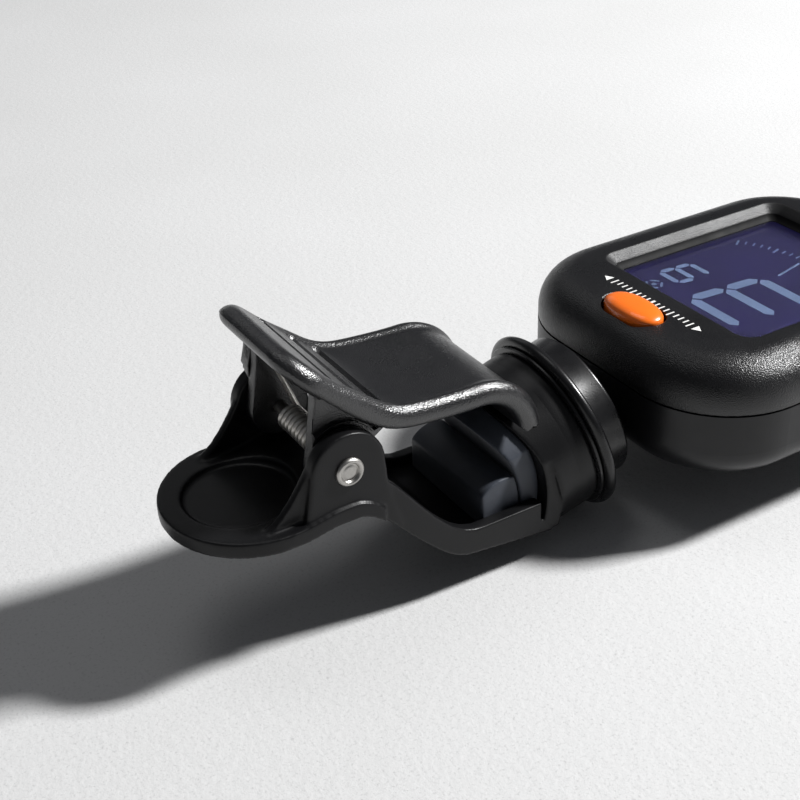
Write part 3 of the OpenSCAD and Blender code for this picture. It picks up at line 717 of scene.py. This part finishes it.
def thumb_plate():
    """The thumb lever's curved plate with its rolled edge, bead and grip grooves."""
    at, total = upper_path()
    corner, roll, under = 3.0, 1.0, 0.78
    bead = 0.28
    edge_steps = [0, 0.015, 0.06, 0.13, 0.22, 0.34, 0.48, 0.64, 0.82, 1.0, 1.16, 1.32, 1.5, 1.7]
    fine = 0.15

    def stations(length):
        middle = np.arange(1.7 + fine, length - 1.7 - fine / 2, fine)
        return sorted(set(edge_steps) | set(middle.tolist()) | {length - e for e in edge_steps})

    rows = stations(total)
    across_steps = np.array(stations(2 * UPPER_HALF)) - UPPER_HALF
    groove_s = []
    probe = np.linspace(0, total, 500)
    px = np.array([at(s)[0][0] for s in probe])
    for gx in GROOVE_X:
        groove_s.append(float(np.interp(gx, px, probe)))
    grooves = list(zip(groove_s, GROOVE_REACH))

    def half_width(s):
        w = UPPER_HALF
        if s < corner:
            w = UPPER_HALF - corner + math.sqrt(max(0, corner ** 2 - (corner - s) ** 2))
        back = total - s
        if back < 0.5:
            w = min(w, UPPER_HALF - 0.5 + math.sqrt(max(0, 0.25 - (0.5 - back) ** 2)))
        return w

    def edge_distance(s, y):
        e = min(UPPER_HALF - abs(y), s, total - s)
        if s < corner and abs(y) > UPPER_HALF - corner:
            e = corner - math.hypot(corner - s, abs(y) - (UPPER_HALF - corner))
        return max(0.0, e)

    verts_top, verts_low = [], []
    for s in rows:
        p, n = at(s)
        w = half_width(s)
        for c in across_steps:
            # Keep the spacing near the edge, and squeeze only the middle
            side = math.copysign(1, c)
            from_edge = UPPER_HALF - abs(c)
            limit = min(1.7, w)
            y = side * (w - from_edge) if from_edge < limit else c * (w - limit) / (UPPER_HALF - limit)
            e = edge_distance(s, y)
            t_top = min(e / roll, 1)
            t_low = min(e / under, 1)
            top = -roll * (1 - math.sqrt(max(0.0, 1 - (1 - t_top) ** 2)))
            # The bead runs along the sides and the nose, and dies out towards the thumb end
            lip = bead * float(ease((s - 3.0) / 4.5))
            top += lip * (1 - float(ease((e - 0.75) / 0.8)))
            low = -UPPER_PLATE + under * (1 - math.sqrt(max(0.0, 1 - (1 - t_low) ** 2)))
            for gs, gy in grooves:
                depth = GROOVE_DEPTH * (1 - float(ease((abs(s - gs) - GROOVE_HALF_WIDTH) / GROOVE_SOFT)))
                depth *= 1 - float(ease((abs(y) - gy + 0.35) / 0.7))
                top -= depth
            if e < 1e-4:
                top = low = lip - roll
            verts_top.append((p[0] + n[0] * top, y, p[1] + n[1] * top))
            verts_low.append((p[0] + n[0] * low, y, p[1] + n[1] * low))
    count = len(across_steps)
    faces = []
    base = len(verts_top)
    for i in range(len(rows) - 1):
        for k in range(count - 1):
            a, b = i * count + k, (i + 1) * count + k
            faces.append((a, a + 1, b + 1, b))
            faces.append((base + a, base + b, base + b + 1, base + a + 1))
    plate = new_object("thumb_arm", verts_top + verts_low, faces)
    return plate


def cheek_outline(hollow=None):
    """A side cheek of the thumb lever; with hollow it ends at a circle round the pin instead."""
    x0, z0 = pivot[0], pivot[2]
    top = [(-25.0, 20.6), (-24.85, 20.9), (-24.1, 20.1), (-22.8, 18.8), (-21.2, 17.4), (-19.7, 16.4)]
    if hollow:
        end = math.degrees(math.acos((-25.35 - x0) / hollow))
        foot = z0 + hollow * math.sin(math.radians(end)) + 0.3
        rear = [(-25.44, foot), (-25.3, 18.4), (-25.15, 19.0), (-25.05, 19.8)]
        return rear + top + [(-20.1, 16.2)] + arc(x0, z0, hollow, 31, end, 22)
    rear = [(-25.55, 15.9), (-25.4, 16.9), (-25.2, 18.0), (-25.05, 19.4)]
    return rear + top + [(-19.9, 15.9), (-20.7, 15.4), (-21.2, 15.0)] + arc(x0, z0, 2.2, 8, -196, 30)


def thumb_lever():
    plate = thumb_plate()
    parts = []
    for side in (-1, 1):
        inner = sorted((side * 3.75, side * 4.8))
        parts.append(side_prism("cheek", cheek_outline(), *inner))
        # The web's hollow round the ear opens out like a fillet
        for reach, hollow in ((5.0, 3.0), (5.2, 3.12), (5.45, 3.3), (5.7, 3.62)):
            outer = sorted((side * 4.6, side * reach))
            parts.append(side_prism("web", cheek_outline(hollow), *outer, edge=0.06))
    pin_hole = lathe("pin_hole", [(PIN_HOLE_RADIUS, -8), (PIN_HOLE_RADIUS, 8)], 40)
    place(pin_hole, Matrix.Translation(Vector(pivot * MM)) @ Matrix.Rotation(math.radians(90), 4, "X"))
    union(plate, parts)
    cut(plate, pin_hole)
    shade(plate, 38)
    return dress(plate, PLASTIC, "thumb_lever", ["upper_lever"])


thumb_lever()

lower = soft_copy("lower_arm", "lower_lever", VOXEL, 20)
dress(lower, LOWER, "clip_base", ["lower_lever"])
lug = soft_copy("tilt_lug", "tilt_knuckle", VOXEL, 4)
dress(lug, SATIN, "head", ["tilt_knuckle"])

# The neck's own axis is +Z of this placement, and 0 is the clip boss's end face
NECK_PLACE = Matrix.Translation(swivel_at) @ swivel_axis.to_track_quat("Z", "Y").to_matrix().to_4x4()


def box_piece(name, low, high):
    (x0, y0, z0), (x1, y1, z1) = low, high
    loops = [[(x0, y0, z), (x1, y0, z), (x1, y1, z), (x0, y1, z)] for z in (z0, z1)]
    return loops_solid(name, loops)


def neck_collar():
    rim = [(7.05 + 0.47 * math.cos(a), 0.83 + 0.45 * math.sin(a)) for a in np.linspace(-1.45, 1.45, 14)]
    line = [(0.0, -1.9), (1.95, -1.9), (2.0, -1.8), (2.0, 0.35), (6.7, 0.35)] + rim
    line += [(6.72, 1.3), (6.62, 1.22), (6.3, 1.2), (6.08, 1.24), (6.0, 1.4)]
    line += [(6.0, 3.3), (5.97, 3.42), (5.88, 3.52), (5.74, 3.57), (5.5, 3.6), (0.0, 3.6)]
    piece = lathe("neck_collar", line, 128)
    place(piece, NECK_PLACE)
    pocket = box_piece("pocket", (-3.3, -1.55, 0.7), (3.3, 1.55, 6))
    place(pocket, NECK_PLACE @ turn_to_y())
    cut(piece, pocket)
    hole = lathe("hole", [(0.65, -4.2), (0.65, 12)], 40)
    tilt_at = Matrix.Translation(Vector(joints["tilt"]["pos_m"]))
    place(hole, tilt_at @ Matrix.Rotation(math.radians(-90), 4, "X"))
    cut(piece, hole)
    shade(piece, 40)
    return dress(piece, NECK, "neck", ["neck"])


def turn_to_y():
    """Turns the placement round the neck's axis so that its Y is the row's Y."""
    local = NECK_PLACE.to_3x3().inverted() @ Vector((0, 1, 0))
    return Matrix.Rotation(math.atan2(local.y, local.x) - math.pi / 2, 4, "Z")


neck_collar()


def boss_sleeve():
    """The clip's round boss, turned smooth, where the swivel's washer bears on it."""
    line = [(5.6, -2.7), (6.25, -2.7), (6.45, -2.3), (6.57, -1.8), (6.62, -1.2), (6.63, -0.3), (6.6, -0.12),
            (6.5, -0.02), (5.9, -0.01), (5.6, -0.05)]
    piece = lathe("boss_sleeve", line, 128, closed=True)
    place(piece, NECK_PLACE)
    cut(piece, box_piece("clear_nose", (-12, -9, 4), (-7.42, 9, 20)))
    cut(piece, box_piece("clear_jaw", (-12, -5.1, 0), (-7.1, 5.1, 20)))
    cut(piece, box_piece("clear_floor", (-14, -9, -5), (4, 9, 0.05)))
    shade(piece, 40)
    return dress(piece, LOWER, "clip_base")


boss_sleeve()


def washer():
    line = [(2.1, 0.01), (6.85, 0.01), (6.95, 0.06), (6.99, 0.17), (6.95, 0.28), (6.85, 0.33), (2.1, 0.33)]
    piece = lathe("swivel_ring", line, 96, closed=True)
    place(piece, NECK_PLACE)
    shade(piece, 40)
    return dress(piece, NECK, "clip_base", ["swivel_washer"])


washer()

# ---------------------------------------------------------------- soft pads
for name, node, body in (("jaw_floor_pad", "lower_pad", "clip_base"),
                         ("jaw_wall_pad", "wall_pad", "clip_base"),
                         ("thumb_pad", "upper_pad", "thumb_lever")):
    pad = soft_copy(name, node, VOXEL * 0.9, 14)
    dress(pad, PAD, body, [node])


# ---------------------------------------------------------------- spring
def helix_points():
    """The centre line of the spring's wire with its two legs, as the CAD has it."""
    radius, pitch, start_y, lower_leg, upper_leg = 0.82, 0.5, -3.2, 2.7, 4.8
    first = math.radians(-45)
    last = math.radians(20.5 + 360 * 11)
    pts = []
    for t in np.linspace(1, 0, 12, endpoint=False):
        pts.append((radius * math.cos(first) + t * lower_leg * math.sin(first), start_y,
                    radius * math.sin(first) - t * lower_leg * math.cos(first)))
    for a in np.linspace(first, last, 440):
        pts.append((radius * math.cos(a), start_y + pitch * (a - first) / (2 * math.pi),
                    radius * math.sin(a)))
    end_y = pts[-1][1]
    for t in np.linspace(1 / 14, 1, 14):
        pts.append((radius * math.cos(last) - t * upper_leg * math.sin(last), end_y,
                    radius * math.sin(last) + t * upper_leg * math.cos(last)))
    return [np.array(p) + pivot for p in pts]


def tube(name, points, radius, sides=14):
    loops = []
    points = [np.array(p, float) for p in points]
    up = np.array([0.0, 1.0, 0.0])
    normal = None
    for i, p in enumerate(points):
        tangent = points[min(i + 1, len(points) - 1)] - points[max(i - 1, 0)]
        tangent /= np.linalg.norm(tangent)
        if normal is None:
            normal = np.cross(tangent, up)
        normal = normal - tangent * (normal @ tangent)
        normal /= np.linalg.norm(normal)
        side = np.cross(tangent, normal)
        r = radius * (0.75 if i in (0, len(points) - 1) else 1.0)
        loops.append([tuple(p + r * (math.cos(a) * normal + math.sin(a) * side))
                      for a in np.linspace(0, 2 * math.pi, sides, endpoint=False)])
    return loops_solid(name, loops)


coil = tube("wire_coil", helix_points(), 0.2)
shade(coil, 60)
coil.data.materials.append(STEEL)
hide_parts("torsion_spring")
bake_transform(coil)


# ---------------------------------------------------------------- pins, and the remaining parts' materials
def pin_piece():
    half = (pin_high[1] - pin_low[1]) / 2
    head = half - 0.3
    end = [(0.0, half - 0.1), (0.38, half - 0.11), (0.5, half - 0.15), (0.58, half - 0.2),
           (0.64, half - 0.2), (0.7, half - 0.1), (0.78, half - 0.015), (0.86, half),
           (0.96, half - 0.04), (1.03, half - 0.13), (1.05, half - 0.22), (1.05, head)]
    profile = end + [(0.5, head - 0.005)]
    mirrored = [(r, -z) for r, z in profile[::-1]]
    piece = lathe("rivet_pin", profile + mirrored, 64)
    turn = Matrix.Rotation(math.radians(90), 4, "X")
    place(piece, Matrix.Translation(Vector(pivot * MM)) @ turn)
    shade(piece, 40)
    return dress(piece, BRIGHT, "clip_base", ["pivot_pin"])


pin_piece()

for node, material in (("swivel_screw", BRIGHT), ("tilt_pin", BRIGHT),
                       ("lcd_holder", WHITE), ("contact_strip", GREY_RUBBER), ("circuit_board", BOARD),
                       ("tuner_chip", CHIP), ("tact_switch", BRIGHT), ("pickup_disc", BRASS),
                       ("pickup_pad", GREY_RUBBER), ("coin_cell", BRIGHT), ("cell_contact_plus", BRASS),
                       ("cell_contact_minus", BRASS), ("cover_screws", BLACK_STEEL)):
    part = frame["nodes"][node]
    part.data.materials.clear()
    part.data.materials.append(material)


# ---------------------------------------------------------------- floor, light, camera
FLOOR_REACH = 1.5


def floor():
    mesh = bpy.data.meshes.new("floor")
    corners = [(-FLOOR_REACH, -FLOOR_REACH, 0), (FLOOR_REACH, -FLOOR_REACH, 0),
               (FLOOR_REACH, FLOOR_REACH, 0), (-FLOOR_REACH, FLOOR_REACH, 0)]
    mesh.from_pydata(corners, [], [(0, 1, 2, 3)])
    obj = bpy.data.objects.new("floor", mesh)
    bpy.context.scene.collection.objects.link(obj)
    n = Nodes("pale_floor")
    speck = n.noise(4200, 3, 0.7)
    cloud = n.noise(25, 3, 0.5)
    tone = n.mix(n.map(cloud, 0.3, 0.7, 0, 1), (0.53, 0.53, 0.527), (0.56, 0.56, 0.56))
    tone = n.mix(n.map(speck, 0.54, 0.7, 0, 0.35), tone, (0.22, 0.22, 0.22))
    obj.data.materials.append(n.finish(tone, 0.8, n.bump(n.noise(1200, 4, 0.7), 0.5, 0.12 * MM)))


floor()


def area_light(name, place_at, target, size, power, colour=(1, 1, 1)):
    data = bpy.data.lights.new(name, "AREA")
    data.shape = "RECTANGLE"
    data.size, data.size_y = size
    data.energy = power
    data.color = colour
    obj = bpy.data.objects.new(name, data)
    obj.location = place_at
    obj.rotation_euler = (Vector(target) - Vector(place_at)).to_track_quat("-Z", "Y").to_euler()
    bpy.context.scene.collection.objects.link(obj)


LIT_POINT = (0, 0, 0.01)
area_light("key", (0.46, -0.155, 0.47), LIT_POINT, (0.075, 0.075), 9.2)
area_light("top", (-0.05, 0.25, 0.75), LIT_POINT, (0.35, 0.35), 0.55)
area_light("back", (0.1, 0.7, 0.33), LIT_POINT, (0.5, 0.2), 0.15)

WORLD_COLOUR = (0.9, 0.93, 1.0, 1)
WORLD_STRENGTH = 0.1

world = bpy.data.worlds.new("studio")
bpy.context.scene.world = world
world.use_nodes = True
world.node_tree.nodes["Background"].inputs["Color"].default_value = WORLD_COLOUR
world.node_tree.nodes["Background"].inputs["Strength"].default_value = WORLD_STRENGTH


CAMERA_AT = (-0.0590, -0.0736, 0.0664)
CAMERA_AZIMUTH, CAMERA_PITCH, CAMERA_ROLL = 30.35, 31.5, -2.3
CAMERA_LENS = 62.8
SENSOR_WIDTH = 36


def camera():
    azimuth, pitch, roll = (math.radians(a) for a in (CAMERA_AZIMUTH, CAMERA_PITCH, CAMERA_ROLL))
    forward = Vector((math.sin(azimuth) * math.cos(pitch), math.cos(azimuth) * math.cos(pitch),
                      -math.sin(pitch)))
    right = Vector((math.cos(azimuth), -math.sin(azimuth), 0))
    up = right.cross(forward)
    right, up = (right * math.cos(roll) + up * math.sin(roll),
                 up * math.cos(roll) - right * math.sin(roll))
    data = bpy.data.cameras.new("camera")
    data.sensor_width = SENSOR_WIDTH
    data.lens = CAMERA_LENS
    data.clip_start = 0.005
    obj = bpy.data.objects.new("camera", data)
    obj.matrix_world = Matrix((
        (right.x, up.x, -forward.x, CAMERA_AT[0]),
        (right.y, up.y, -forward.y, CAMERA_AT[1]),
        (right.z, up.z, -forward.z, CAMERA_AT[2]),
        (0, 0, 0, 1)))
    bpy.context.scene.collection.objects.link(obj)
    bpy.context.scene.camera = obj


camera()
bpy.context.scene.view_settings.view_transform = "Standard"
